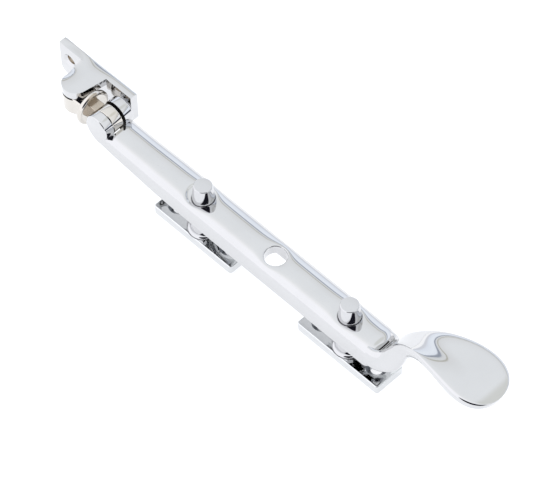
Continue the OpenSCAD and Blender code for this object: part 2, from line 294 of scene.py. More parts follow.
def sliced(bm, step):
    """Cut a mesh by upright planes, so that its top can be bent."""
    for axis in (0, 1):
        low = min(v.co[axis] for v in bm.verts)
        high = max(v.co[axis] for v in bm.verts)
        normal = [0, 0, 0]
        normal[axis] = 1
        for i in range(1, int((high - low) / step) + 1):
            place = [0, 0, 0]
            place[axis] = low + i * step
            bmesh.ops.bisect_plane(bm, geom=bm.verts[:] + bm.edges[:] + bm.faces[:],
                                   plane_co=place, plane_no=normal)
    return bm


def polish(x, y):
    """How far hand polishing has worn the bracket's top."""
    start = -WORN_BAND - WORN_EXTRA * math.exp(-((x - WORN_X) / WORN_SPREAD) ** 2)
    back = WORN_RATE * max(0.0, y - start) ** 2 / -start
    near = min(max(SCOOP_R + RING_W - math.hypot(x - SCOOP_X, y - SCOOP_Y), 0), RING_W)
    return back + RING_RATE * near ** 2 / RING_W


def bracket_plate():
    half, low = PLATE_LEN / 2, PLATE_CORNER - PLATE_TOP
    outline = [(-half, PLATE_TOP), (-half, low)]
    outline += arc(-half + PLATE_CORNER, low, PLATE_CORNER, 180, 270, 12)[1:]
    outline += arc(half - PLATE_CORNER, low, PLATE_CORNER, 270, 360, 12)
    outline += [(half, PLATE_TOP)]
    return prism(outline, 0, PLATE_T, about_y(0, 0, 0))


def lug():
    """The round ear over the swivel block, joined to the plate by straight flanks."""
    turn = math.degrees(math.atan2(PIVOT_REACH, LUG_FLARE)
                        - math.acos(LUG_R / math.hypot(LUG_FLARE, PIVOT_REACH)))
    left, right = PIVOT_X - LUG_FLARE, PIVOT_X + LUG_FLARE
    outline = [(left, -PLATE_T + CLEAR), (left, -PLATE_T)]
    outline += arc(PIVOT_X, PIVOT_Y, LUG_R, 180 - turn, 360 + turn, 64)
    outline += [(right, -PLATE_T), (right, -PLATE_T + CLEAR)]
    return prism(outline, LUG_BOTTOM, PLATE_TOP)


def hollow():
    """The cutter for the hollow ground into the lug's side away from the arm, clear of the plate."""
    steps = 16
    depths = [SCOOP_DEEPEST * i / steps for i in range(steps, -1, -1)]
    bottom = [(SCOOP_R - s, PLATE_TOP - SCOOP_RISE * s - SCOOP_BEND * s * s) for s in depths]
    profile = [(0, bottom[0][1])] + bottom + [(SCOOP_R, PLATE_TOP + 2), (0, PLATE_TOP + 2)]
    cutter = lathe(profile, Matrix.Translation((SCOOP_X, SCOOP_Y, 0)), 160)
    front = box((-FAR_AWAY, -FAR_AWAY, -FAR_AWAY), (FAR_AWAY, -PLATE_T, FAR_AWAY))
    return combine(cutter, [("INTERSECT", front)])


def sash_bracket():
    solid = combine(bracket_plate(), [("UNION", lug())])
    solid = bevelled(combine(solid, [("DIFFERENCE", hollow())]), PLATE_EDGE, angle=40)
    profile = screw_hole(SASH_HOLE, SASH_SINK, PLATE_T)
    profile += [(profile[-1][0], PLATE_T + CLEAR), (0, PLATE_T + CLEAR)]
    cuts = [("DIFFERENCE", lathe(profile, about_y(side * SASH_PITCH / 2, 0, PLATE_TOP - SASH_DROP), 64))
            for side in (-1, 1)]
    cuts.append(("DIFFERENCE", rod(RIVET_R, LUG_BOTTOM - CLEAR, LUG_BOTTOM + RIVET_DEPTH, PIVOT, 96)))
    solid = sliced(combine(solid, cuts), SLICE)
    for v in solid.verts:
        v.co.z -= polish(v.co.x, v.co.y) * smooth((v.co.z - LUG_BOTTOM - POLISH_START) / POLISH_FADE)
    return solid


# ---------------------------------------------------------------- swivel block
def barrel():
    neck = BARREL_R - GROOVE_DEPTH
    profile = [(0, BARREL_BOTTOM), (BARREL_R, BARREL_BOTTOM), (BARREL_R, BARREL_TOP - GROOVE),
               (neck, BARREL_TOP - GROOVE), (neck, BARREL_TOP), (0, BARREL_TOP)]
    return lathe(fillet(profile, [0, BARREL_FOOT, 0, 0, 0, 0], 8), PIVOT)


def shoulder():
    """The disc across the block, its face dished like a part of a ball."""
    dish_r = SHOULDER_R - SHOULDER_RIM
    ball = (dish_r * dish_r + DISH_DEPTH * DISH_DEPTH) / (2 * DISH_DEPTH)
    steps = 10
    turns = [math.asin(dish_r / ball) * k / steps for k in range(steps + 1)]
    face = [(ball * math.sin(turn), SHOULDER_T - DISH_DEPTH + ball - ball * math.cos(turn))
            for turn in turns]
    rim = fillet([(dish_r, SHOULDER_T), (SHOULDER_R, SHOULDER_T), (SHOULDER_R, 0), (0, 0)],
                 [0, SHOULDER_EDGE, SHOULDER_EDGE, 0], 8)
    return lathe(face + rim[1:], about_x(SHOULDER_X, PIVOT_Y, SHOULDER_Z), 128)


def swivel_block():
    web = bevelled(box((0, PIVOT_Y - BLOCK_HALF, SHOULDER_Z - BLOCK_HALF),
                       (SHOULDER_X + CLEAR, PIVOT_Y + BLOCK_HALF, BARREL_TOP)), BLOCK_EDGE)
    y0 = PIVOT_Y + TONGUE_SHIFT - TONGUE_W / 2
    y1 = y0 + TONGUE_W
    neck = bevelled(box((SHOULDER_X + CLEAR, y0, HINGE_Z - TONGUE_DROP),
                        (HINGE_X, y1, HINGE_Z + TONGUE_RISE)), TONGUE_EDGE, 3)
    tip = drum(HINGE_X, HINGE_Z, TONGUE_R, y0, y1, TONGUE_ROUND, 96)
    bore = rod(PIN_BORE / 2, -THROUGH, THROUGH, about_y(HINGE_X, PIVOT_Y, HINGE_Z), 48)
    well = rod(RIVET_WELL_R, -THROUGH, THROUGH, PIVOT, 48)
    return combine(barrel(), [("UNION", web), ("UNION", shoulder()), ("UNION", neck), ("UNION", tip),
                              ("DIFFERENCE", bore), ("DIFFERENCE", well)])


# ---------------------------------------------------------------- arm: the bar
# The bar's crown is a superellipse across, rounder on the far side. It dips a little round each
# hole, and a shallow dish (SINK) lies round the first hole, shifted towards the bracket.
CROWN_POWER, FAR_POWER, FAR_DROP = 2.7, 2.2, 2.5
RIM = 0.4
DIPS, DIP_RUN = (0.5, 0.4, 0.4), 2.0
SINK_SHIFT, SINK_DEPTH, SINK_R, SINK_RUN = 1.5, 0.5, 5.9, 1.3
WAIST, WAIST_START, WAIST_RUN = 0.3, 34, 16
CORNER, HEEL = 4.6, 4.2
BROW, BROW_DROP = 5.2, 3.6
BAR_EDGE = 0.6

# The grid: faces across the crown, and rows along it before, between and after the holes.
ACROSS = 28
HOLE_SPAN = 7.4
ROOT_ROWS, SPAN_ROWS, TAIL_ROWS, BROW_ROWS = 26, 14, 5, 20
PATCH_CELLS, PATCH_RINGS, PATCH_CROWD, RIM_RINGS, WALL_ROWS = 14, 12, 1.5, 4, 4
LINING = (2.4, WEB_T + 1.6)


def bar_half(x):
    waist = WAIST * (1 - smooth((x - WAIST_START) / WAIST_RUN))
    over = max(0.0, x - (BAR_END - CORNER))
    return ARM_W / 2 - waist - (CORNER - math.sqrt(max(CORNER ** 2 - over ** 2, 0)))


def bar_top(x):
    """The height of the bar's centre line: level, then round the brow at its end."""
    over = max(0.0, x - (BAR_END - BROW))
    return ARM_TOP - BROW_DROP * (1 - math.sqrt(max(1 - (over / BROW) ** 2, 0)))


def underside(x):
    run = (FORK_BOTTOM - ARM_BOTTOM) / math.tan(FORK_SLOPE)
    z = ARM_BOTTOM + (FORK_BOTTOM - ARM_BOTTOM) * math.exp((BAR_START - x) / run)
    over = max(0.0, x - (BAR_END - HEEL))
    return z + HEEL - math.sqrt(max(HEEL ** 2 - over ** 2, 0))


def crown(x, s):
    """A point of the bar's top, with s from -1 to 1 across it."""
    turn = abs(s) * math.pi / 2
    power, drop = (FAR_POWER, FAR_DROP) if s > 0 else (CROWN_POWER, CROWN_DROP)
    y = math.copysign(bar_half(x) * math.sin(turn) ** (2 / power), s)
    z = bar_top(x) - drop * (1 - math.cos(turn)) * (bar_top(x) + BROW_DROP) / (ARM_TOP + BROW_DROP)
    for hole, dip in zip(HOLES, DIPS):
        away = max(math.hypot(x - hole, y) - HOLE_R - RIM, 0)
        z -= dip * math.exp(-away / DIP_RUN) * math.cos(turn)
    away = math.hypot(x - HOLES[0] + SINK_SHIFT, y)
    z -= SINK_DEPTH * smooth((SINK_R - away) / SINK_RUN) * math.cos(turn)
    return Vector((x, PIVOT_Y + y, z))


def across(x, y):
    """The s of a point at distance y from the bar's centre line."""
    share = min(abs(y) / bar_half(x), 1.0)
    power = FAR_POWER if y > 0 else CROWN_POWER
    return math.copysign(math.asin(share ** (power / 2)) / (math.pi / 2), y)


def bar_spans():
    """The x of each row of the crown: a list before, between and after the holes."""
    first = HOLES[0] - HOLE_SPAN
    spans = [[BAR_START + (first - BAR_START) * i / ROOT_ROWS for i in range(ROOT_ROWS + 1)]]
    for a, b in zip(HOLES, HOLES[1:]):
        run = b - a - 2 * HOLE_SPAN
        spans.append([a + HOLE_SPAN + run * i / SPAN_ROWS for i in range(SPAN_ROWS + 1)])
    last = HOLES[-1] + HOLE_SPAN
    level_end = BAR_END - BROW
    tail = [last + (level_end - last) * i / TAIL_ROWS for i in range(TAIL_ROWS + 1)]
    almost = 0.999
    tail += [level_end + BROW * math.sin(math.radians(90 * i / BROW_ROWS)) * almost
             for i in range(1, BROW_ROWS + 1)]
    spans.append(tail)
    return spans


def pierce(bm, hole, before, after):
    """Fill the crown between two rows round a hole, and line the hole. It gives back the filling's
    long edges."""
    xs = [hole - HOLE_SPAN + 2 * HOLE_SPAN * i / PATCH_CELLS for i in range(PATCH_CELLS + 1)]
    low = [before[0]] + [bm.verts.new(crown(x, -1)) for x in xs[1:-1]] + [after[0]]
    high = [before[-1]] + [bm.verts.new(crown(x, 1)) for x in xs[1:-1]] + [after[-1]]
    places = [(x, -1.0) for x in xs] + [(xs[-1], -1 + 2 * i / ACROSS) for i in range(1, ACROSS)]
    places += [(x, 1.0) for x in reversed(xs)] + [(xs[0], 1 - 2 * i / ACROSS) for i in range(1, ACROSS)]
    angles = [math.atan2(s, (x - hole) / HOLE_SPAN) for x, s in places]
    rings = [low + after[1:-1] + high[::-1] + before[-2:0:-1]]
    outer = HOLE_R + RIM
    for k in range(1, PATCH_RINGS + 1):
        share = 1 - (1 - k / PATCH_RINGS) ** PATCH_CROWD
        ring = []
        for (x, s), angle in zip(places, angles):
            cx, cy = hole + outer * math.cos(angle), outer * math.sin(angle)
            cs = across(cx, cy)
            ring.append(bm.verts.new(crown(x + (cx - x) * share, s + (cs - s) * share)))
        rings.append(ring)
    mouth = rings[-1]
    for k in range(1, RIM_RINGS + 1):
        turn = math.radians(90 * k / RIM_RINGS)
        r = HOLE_R + RIM * (1 - math.sin(turn))
        drop = RIM * (1 - math.cos(turn))
        rings.append([bm.verts.new((hole + r * math.cos(angle), PIVOT_Y + r * math.sin(angle),
                                    start.co.z - drop)) for angle, start in zip(angles, mouth)])
    for depth in LINING:
        rings.append([bm.verts.new((v.co.x, v.co.y, ARM_TOP - depth)) for v in rings[-1]])
    for outside, inside in zip(rings, rings[1:]):
        band(bm, outside, inside)
    bm.faces.new(rings[-1])
    return low, high


def wall(bm, edge, sign):
    """Drop a side wall from an edge of the crown, with a rounded foot. It gives back its columns."""
    columns = []
    for v in edge:
        x, y, z = v.co
        foot = underside(x)
        half = abs(y - PIVOT_Y)
        column = [v]
        for k in range(1, WALL_ROWS + 1):
            column.append(bm.verts.new((x, y, z + (foot + BAR_EDGE - z) * k / WALL_ROWS)))
        for k in range(1, WALL_ROWS + 1):
            turn = math.radians(90 * k / WALL_ROWS)
            out = half - BAR_EDGE + BAR_EDGE * math.cos(turn)
            column.append(bm.verts.new((x, PIVOT_Y + sign * out,
                                        foot + BAR_EDGE - BAR_EDGE * math.sin(turn))))
        columns.append(column)
    for a, b in zip(columns, columns[1:]):
        for k in range(len(a) - 1):
            bm.faces.new((a[k], a[k + 1], b[k + 1], b[k]))
    return columns


def bar():
    bm = bmesh.new()
    rows = {}

    def row(x):
        key = round(x, 5)
        if key not in rows:
            rows[key] = [bm.verts.new(crown(x, -1 + 2 * i / ACROSS)) for i in range(ACROSS + 1)]
        return rows[key]

    spans = bar_spans()
    near_edge, far_edge = [], []
    for number, span in enumerate(spans):
        for x0, x1 in zip(span, span[1:]):
            a, b = row(x0), row(x1)
            for i in range(ACROSS):
                bm.faces.new((a[i], b[i], b[i + 1], a[i + 1]))
        near_edge += [row(x)[0] for x in span]
        far_edge += [row(x)[-1] for x in span]
        if number < len(HOLES):
            hole = HOLES[number]
            low, high = pierce(bm, hole, row(hole - HOLE_SPAN), row(hole + HOLE_SPAN))
            near_edge += low[1:-1]
            far_edge += high[1:-1]

    near, far = wall(bm, near_edge, -1), wall(bm, far_edge, 1)
    for i in range(len(near) - 1):
        bm.faces.new((near[i][-1], near[i + 1][-1], far[i + 1][-1], far[i][-1]))
    for index, x in ((0, spans[0][0]), (-1, spans[-1][-1])):
        bm.faces.new(near[index][::-1] + row(x)[1:-1] + far[index])
    return bm


def ears():
    """The round ends of the fork, and the deeper curve under them that runs into the bar."""
    half = bar_half(0)
    upper = drum(HINGE_X, HINGE_Z, EAR_R, PIVOT_Y - half, PIVOT_Y + half, EAR_EDGE, 128)
    outline = arc(EAR_LOW_X, HINGE_Z, EAR_LOW_R, 180, 270 - math.degrees(FORK_SLOPE), 40)
    outline += [(BAR_START, HINGE_Z)]
    lower = prism(outline, -half, half, about_y(0, PIVOT_Y, 0))
    return upper, bevelled(lower, EAR_EDGE)


# ---------------------------------------------------------------- arm: the neck and the spoon
# Its centre line is two cubic curves in (x, z), and sections are set across it. A RUN is the
# length over which a shape comes in or goes.
NECK_START = Vector((BAR_END - 3.8, ARM_BOTTOM + 5.1))
NECK_RUN = 10.6
NECK_JOIN = Vector((BAR_END + 17.4, SPOON_Z - 6.4))
NECK_RISE = Vector((1, 0.886))
NECK_CURVE = (NECK_START, NECK_START + Vector((13, 0)), NECK_JOIN - 13.2 * NECK_RISE, NECK_JOIN)
BLADE_CURVE = (NECK_JOIN, NECK_JOIN + 9.8 * NECK_RISE, Vector((SPOON_TIP - 13.8, SPOON_Z + 1.6)),
               Vector((SPOON_TIP, SPOON_Z - 2.2)))
NECK_X = NECK_START.x + NECK_RUN
NECK_STEPS, BLADE_STEPS, BLADE_CROWD = 36, 80, 2.2
SKIN = 0.02

# outline
SHOULDER_START, SHOULDER_RUN = BAR_END - 1.3, 10.0
FLARE_END, FLARE_POWER, TIP_POWER = 0.86, 0.77, 9.7
# thickness
ROOT_THICK, ROOT_END, ROOT_RUN = 2.3, 2.7, 27
TIP_THIN, TIP_THIN_POWER = 0.25, 12
BELLY, BELLY_RUN = 1.13, 13
PAD_BELLY, PAD_BELLY_START, PAD_BELLY_RUN = 0.7, 180, 15
# section: powers at the neck and at the pad, and where they change over
QUARTER = 24
NECK_POWERS, PAD_POWERS, SQUARE_START, SQUARE_RUN = (7, 3), (12, 4.5), 172, 12
# the pad's hollow, the raised near shoulder, and the valley behind the bar's end
PAD_DISH, PAD_DISH_W = 0.34, 4.0
DISH_IN, DISH_IN_RUN, DISH_OUT, DISH_OUT_RUN = 163, 9, 186, 16
BRIDGE, BRIDGE_RUN, BRIDGE_SIDE, BRIDGE_SIDE_RUN = 0.75, 6, 0.35, 0.4
VALLEY, VALLEY_START, VALLEY_RUN = 2.0, 0.5, 5.5
VALLEY_NEAR, VALLEY_NEAR_RUN, VALLEY_FAR, VALLEY_FAR_RUN = 0.6, 0.35, 0.8, 0.4


def cubic(p, t):
    return ((1 - t) ** 3 * p[0] + 3 * t * (1 - t) ** 2 * p[1] + 3 * t * t * (1 - t) * p[2] + t ** 3 * p[3])


def cubic_way(p, t):
    return ((1 - t) ** 2 * (p[1] - p[0]) + 2 * t * (1 - t) * (p[2] - p[1]) + t * t * (p[3] - p[2]))


def along(x):
    return max(0.0, min(1.0, (x - NECK_X) / (SPOON_TIP + SKIN - NECK_X)))


def spoon_half(x):
    flare = (SPOON_W - NECK_W) / 2 * smooth(along(x) / FLARE_END) ** FLARE_POWER
    root = (ARM_W - NECK_W) / 2 * (1 - smooth((x - SHOULDER_START) / SHOULDER_RUN))
    return (NECK_W / 2 + flare + root) * math.sqrt(max(1 - along(x) ** TIP_POWER, 1e-6)) - SKIN


def spoon_thick(x):
    """Half the thickness."""
    return (SPOON_T / 2 * (1 - TIP_THIN * along(x) ** TIP_THIN_POWER) - SKIN
            + ROOT_THICK * (1 - smooth((x - BAR_END - ROOT_END) / ROOT_RUN)))


def dish(x, out):
    """How far the hand pad's top is sunk, in a shallow hollow down its middle."""
    reach = smooth((x - DISH_IN) / DISH_IN_RUN) * (1 - smooth((x - DISH_OUT) / DISH_OUT_RUN))
    return PAD_DISH * reach * math.exp(-(out / PAD_DISH_W) ** 2)


def belly(x):
    """How much fuller the underside is where the neck leaves the bar, and under the hand pad."""
    return (BELLY * (1 - smooth((x - BAR_END) / BELLY_RUN))
            + PAD_BELLY * smooth((x - PAD_BELLY_START) / PAD_BELLY_RUN))


def bridge(x, share):
    """How far the near shoulder is raised where the bar runs into the neck; share is -1 to 1 across."""
    return (BRIDGE * (1 - smooth((x - SHOULDER_START) / BRIDGE_RUN))
            * smooth((-share - BRIDGE_SIDE) / BRIDGE_SIDE_RUN))


def valley(x, share):
    """How far the neck's top is sunk behind the bar's end, away from its two sides."""
    middle = smooth((share + VALLEY_NEAR) / VALLEY_NEAR_RUN) * smooth((VALLEY_FAR - share) / VALLEY_FAR_RUN)
    return VALLEY * (1 - smooth((x - SHOULDER_START - VALLEY_START) / VALLEY_RUN)) * middle


def section(x):
    """The spoon's cross-section at x, as (out, up) points: over the top, then back underneath."""
    half, thick = spoon_half(x), spoon_thick(x)
    square = smooth((x - SQUARE_START) / SQUARE_RUN)
    wide, high = (a + (b - a) * square for a, b in zip(NECK_POWERS, PAD_POWERS))
    shares = [math.cos(math.pi / 2 * i / QUARTER) for i in range(2 * QUARTER + 1)]
    shares[0], shares[-1] = 1.0, -1.0
    ups = [thick * max(1 - abs(share) ** wide, 0) ** (1 / high) for share in shares]
    points = []
    for share, up in zip(shares, ups):
        rise = bridge(x, share) - dish(x, share * half) - valley(x, share)
        points.append((share * half, up + rise * up / thick))
    under = list(zip(shares, ups))[-2:0:-1]
    return points + [(share * half, -up * (1 + belly(x) / thick)) for share, up in under]


def spoon():
    bm, rings = bmesh.new(), []
    places = [(NECK_CURVE, i / NECK_STEPS) for i in range(NECK_STEPS)]
    places += [(BLADE_CURVE, 1 - (1 - i / BLADE_STEPS) ** BLADE_CROWD) for i in range(BLADE_STEPS + 1)]
    for curve, t in places:
        p, way = cubic(curve, t), cubic_way(curve, t).normalized()
        rings.append([bm.verts.new((p.x - way.y * up, PIVOT_Y + out, p.y + way.x * up))
                      for out, up in section(p.x)])
    for low, high in zip(rings, rings[1:]):
        band(bm, low, high)
    bm.faces.new(rings[0])
    bm.faces.new(rings[-1])
    return bm


def stay_arm():
    upper, lower = ears()
    half = SLOT_W / 2
    slot = box((-20, PIVOT_Y - half, -20), (SLOT_ROOT, PIVOT_Y + half, 20))
    blind_end = PIVOT_Y - ARM_W / 2 + HINGE_SKIN
    bore = rod(HINGE_PIN_R, 0, FAR_AWAY, about_y(HINGE_X, blind_end + FAR_AWAY, HINGE_Z), 48)
    r = ARM_W / 2 - WALL_T
    outline = arc(CHANNEL[0] + r, 0, r, 90, 270, 24) + arc(CHANNEL[1] - r, 0, r, -90, 90, 24)
    channel = prism([(x, PIVOT_Y + y) for x, y in outline], ARM_BOTTOM - 2, ARM_TOP - WEB_T)
    return combine(bar(), [("UNION", upper), ("UNION", lower), ("UNION", spoon()),
                           ("DIFFERENCE", slot), ("DIFFERENCE", channel), ("DIFFERENCE", bore)])


# ---------------------------------------------------------------- pins and plates
def stay_pin(x):
    foot, head = PIN_FACE, ARM_TOP + PIN_RISE
    collar_top = ARM_TOP - WEB_T - GAP
    flare = [(COLLAR_R + FOOT_R - FOOT_R * math.sin(math.radians(a)),
              foot + FOOT_GAP + FOOT_R - FOOT_R * math.cos(math.radians(a))) for a in range(0, 91, 9)]
    body = [(0, foot - PIN_PLATE[2]), (TENON_R, foot - PIN_PLATE[2]), (TENON_R, foot),
            (COLLAR_R + FOOT_R, foot)] + flare
    top = fillet([(COLLAR_R, collar_top - 2), (COLLAR_R, collar_top), (PIN_R, collar_top),
                  (PIN_R, ARM_TOP + PIN_STRAIGHT), (PIN_TOP_R, head), (0, head)],
                 [0, COLLAR_EDGE, 0, PIN_BEND, PIN_EDGE, 0])
    return lathe(body + top, Matrix.Translation((x, PIVOT_Y, 0)), 128)


def pin_plate(x):
    length, width, thick = PIN_PLATE
    r = PIN_PLATE_CORNER
    outline = []
    for sx, sy, start in ((1, 1, 0), (-1, 1, 90), (-1, -1, 180), (1, -1, 270)):
        outline += arc(sx * (length / 2 - r), sy * (width / 2 - r), r, start, start + 90, 8)
    place = Matrix.Translation((x, PIVOT_Y, PIN_FACE - thick))
    solid = bevelled(prism(outline, 0, thick), PIN_PLATE_EDGE, angle=40)
    solid.transform(place)
    profile = screw_hole(PIN_HOLE, PIN_SINK, thick) + [(0, thick + SINK_FLARE_UP)]
    cuts = [("DIFFERENCE", lathe(profile, place @ Matrix.Translation((side * PIN_PITCH / 2, 0, 0)), 64))
            for side in (-1, 1)]
    cuts.append(("DIFFERENCE", rod(TENON_R, -CLEAR, thick + CLEAR, place, 64)))
    return combine(solid, cuts)


# ---------------------------------------------------------------- materials
# Noise scales are per metre: a cloud of about a centimetre, a finer haze, a low swell in the
# surface, and hairlines that run along the arm.
CLOUD, HAZE, SWELL, HAIRLINES = 90, 260, 55, (300, 5200, 5200)
CLOUD_SHADE = 0.965
HAZE_SPREAD = 2.2
SWELL_HEIGHT, HAIR_HEIGHT = 0.0006, 0.00002


def node_tree(owner):
    owner.use_nodes = True
    tree = owner.node_tree
    tree.nodes.clear()
    return tree


def polished(name, tint, rough, wave=0.05, fine=0.02):
    """Plated metal: a faint cloud in its colour, a haze in its gloss, a low swell and hairlines."""
    mat = bpy.data.materials.new(name)
    tree = node_tree(mat)
    new, link = tree.nodes.new, tree.links.new
    out = new("ShaderNodeOutputMaterial")
    bsdf = new("ShaderNodeBsdfPrincipled")
    link(bsdf.outputs[0], out.inputs[0])
    bsdf.inputs["Metallic"].default_value = 1.0
    coord = new("ShaderNodeTexCoord").outputs["Object"]

    def noise(scale, detail, vector=coord):
        node = new("ShaderNodeTexNoise")
        node.inputs["Scale"].default_value = scale
        node.inputs["Detail"].default_value = detail
        link(vector, node.inputs["Vector"])
        return node.outputs["Fac"]

    def bump(height, strength, distance):
        node = new("ShaderNodeBump")
        node.inputs["Strength"].default_value = strength
        node.inputs["Distance"].default_value = distance
        link(height, node.inputs["Height"])
        return node

    ramp = new("ShaderNodeValToRGB")
    dark, light = ramp.color_ramp.elements
    dark.position, light.position = 0.3, 0.75
    dark.color = [c * CLOUD_SHADE for c in tint] + [1]
    light.color = list(tint) + [1]
    link(noise(CLOUD, 3), ramp.inputs["Fac"])
    link(ramp.outputs["Color"], bsdf.inputs["Base Color"])

    spread = new("ShaderNodeMapRange")
    spread.inputs["From Min"].default_value, spread.inputs["From Max"].default_value = 0.35, 0.75
    spread.inputs["To Min"].default_value, spread.inputs["To Max"].default_value = rough, rough * HAZE_SPREAD
    link(noise(HAZE, 5), spread.inputs["Value"])
    link(spread.outputs["Result"], bsdf.inputs["Roughness"])

    swell = bump(noise(SWELL, 1), wave, SWELL_HEIGHT)
    stretch = new("ShaderNodeMapping")
    stretch.inputs["Scale"].default_value = HAIRLINES
    link(coord, stretch.inputs["Vector"])
    hair = bump(noise(1, 2, stretch.outputs["Vector"]), fine, HAIR_HEIGHT)
    link(swell.outputs["Normal"], hair.inputs["Normal"])
    link(hair.outputs["Normal"], bsdf.inputs["Normal"])
    return mat


CAST = polished("chrome_cast", (0.64, 0.64, 0.645), 0.03)
TURNED = polished("chrome_turned", (0.62, 0.62, 0.63), 0.03, 0.02, 0.03)
# Near-black painted shade on the washer, for the dark gap under the lug.
WASHER = polished("washer_painted_shade", (0.05, 0.05, 0.055), 0.3, 0.05, 0.2)
# Chrome with a cream painted reflection in its colour, for the whole swivel casting.
CREAM_REFLECTION = polished("chrome_painted_cream_reflection", (0.67, 0.64, 0.595), 0.04)
# Near-black painted shade, on a rough finish, for the slot, the valley behind the bar's end, the tongue's
# flats and the barrel's groove.
DULL_PAINTED_SHADE = polished("painted_shade_black", (0.035, 0.028, 0.024), 0.45, 0.3, 0.3)
# Brown painted shade for the sash screw holes' walls and the swivel's neck.
BROWN = polished("painted_shade_brown", (0.48, 0.42, 0.35), 0.14, 0.2, 0.1)
# Grey painted shade for the pin plates' countersinks and holes.
GREY = polished("painted_shade_grey", (0.34, 0.35, 0.37), 0.16, 0.2, 0.1)
BRIGHT = polished("chrome_plate", (0.73, 0.74, 0.745), 0.03)

# ---------------------------------------------------------------- which faces get painted shade
# Each test takes a face's centre, in millimetres, and its normal.
ON = 0.05
WITHIN = 0.02
SQUARE_ON = 0.9
VALLEY_X = (BAR_END + 0.1, BAR_END + 3.2)
VALLEY_Y = (-5.2, 4.6)
VALLEY_Z = (ARM_BOTTOM + 4, ARM_TOP - 1.2)
VALLEY_UP = 0.3
SHADED_NECK_END = HINGE_X - 4.6


# The slot's sides and root, which get near-black painted shade.
def in_slot(centre, normal):
    side = abs(abs(centre.y - PIVOT_Y) - SLOT_W / 2) < ON and abs(normal.y) > SQUARE_ON
    root = abs(centre.x - SLOT_ROOT) < ON and normal.x < -SQUARE_ON
    return centre.x < SLOT_ROOT + ON and (side or root)


def in_valley(centre, normal):
    """The hollow behind the bar's end, which gets near-black painted shade."""
    return (VALLEY_X[0] < centre.x < VALLEY_X[1] and VALLEY_Z[0] < centre.z < VALLEY_Z[1]
            and normal.z > VALLEY_UP and VALLEY_Y[0] < centre.y - PIVOT_Y < VALLEY_Y[1])


def in_slot_or_valley(centre, normal):
    return in_slot(centre, normal) or in_valley(centre, normal)


def on_tongue(centre, normal):
    """The tongue's flat sides, and the groove at the barrel's top, which get near-black painted shade."""
    side = abs(centre.y - PIVOT_Y - TONGUE_SHIFT)
    flat = abs(side - TONGUE_W / 2) < ON and abs(normal.y) > SQUARE_ON
    from_pivot = math.hypot(centre.x - PIVOT_X, centre.y - PIVOT_Y)
    groove = centre.z > BARREL_TOP - GROOVE - WITHIN and from_pivot < BARREL_R
    return (centre.x > HINGE_X - TONGUE_R and flat) or groove


def on_neck(centre, normal):
    """The neck between the shoulder's dish and the tongue, which gets brown painted shade."""
    side = abs(centre.y - PIVOT_Y - TONGUE_SHIFT)
    dish_floor = SHOULDER_X + SHOULDER_T - DISH_DEPTH
    return dish_floor < centre.x < SHADED_NECK_END and side < TONGUE_W / 2 + ON


# The sash screw holes' walls, which get brown painted shade.
def in_sash_hole(centre, normal):
    away = math.hypot(abs(centre.x) - SASH_PITCH / 2, centre.z - PLATE_TOP + SASH_DROP)
    return away < SASH_HOLE / 2 + WITHIN and abs(normal.y) < 0.5


# The pin plates' countersinks and holes, which get grey painted shade.
def in_pin_plate_hole(x):
    def inside(centre, normal):
        away = math.hypot(abs(centre.x - x) - PIN_PITCH / 2, centre.y - PIVOT_Y)
        above_back = centre.z > PIN_FACE - PIN_PLATE[2] + WITHIN
        return away < PIN_SINK / 2 - WITHIN and normal.z < SQUARE_ON and above_back
    return inside


# ---------------------------------------------------------------- pieces
def finish(obj, material, *others):
    """Give obj a material, and another one to the faces that each (material, test) picks out."""
    obj.data.materials.append(material)
    for number, (other, inside) in enumerate(others, 1):
        obj.data.materials.append(other)
        for face in obj.data.polygons:
            if inside(face.center / MM, face.normal):
                face.material_index = number


# The sash screw holes' walls get brown painted shade.
finish(piece(sash_bracket(), "bracket_casting", "bracket", ["sash_bracket"]),
       CAST, (BROWN, in_sash_hole))
# The swivel's chrome carries a cream painted reflection; its tongue's flats and groove get near-black
# painted shade, and its neck brown painted shade.
finish(piece(swivel_block(), "swivel_casting", "swivel", ["swivel_block"]),
       CREAM_REFLECTION, (DULL_PAINTED_SHADE, on_tongue), (BROWN, on_neck))
# The arm's slot and the valley behind the bar's end get near-black painted shade.
finish(piece(stay_arm(), "arm_casting", "arm", ["stay_arm"]),
       CAST, (DULL_PAINTED_SHADE, in_slot_or_valley))
for name, body, x in (("near", "near_pin", HOLES[0]), ("far", "far_pin", HOLES[2])):
    finish(piece(stay_pin(x), f"{name}_pin_turned", body, [f"stay_pin_{name}"]), TURNED)
    # Their countersinks and holes get grey painted shade.
    finish(piece(pin_plate(x), f"{name}_plate_casting", body, [f"pin_plate_{name}"]),
           BRIGHT, (GREY, in_pin_plate_hole(x)))

# The washer is near-black painted shade, for the dark gap under the lug.
for node, material in (("pivot_rivet", TURNED), ("hinge_pin", TURNED), ("pivot_washer", WASHER)):
    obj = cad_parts[node]
    obj.data.materials.clear()
    obj.data.materials.append(material)

# ---------------------------------------------------------------- floor
FLOOR_HALF, FLOOR_GAP = 3.0, 0.00005
PAPER, PAPER_GLOW, PAPER_GLOW_STRENGTH = (0.30, 0.305, 0.31), (1.0, 1.012, 1.045), 0.80


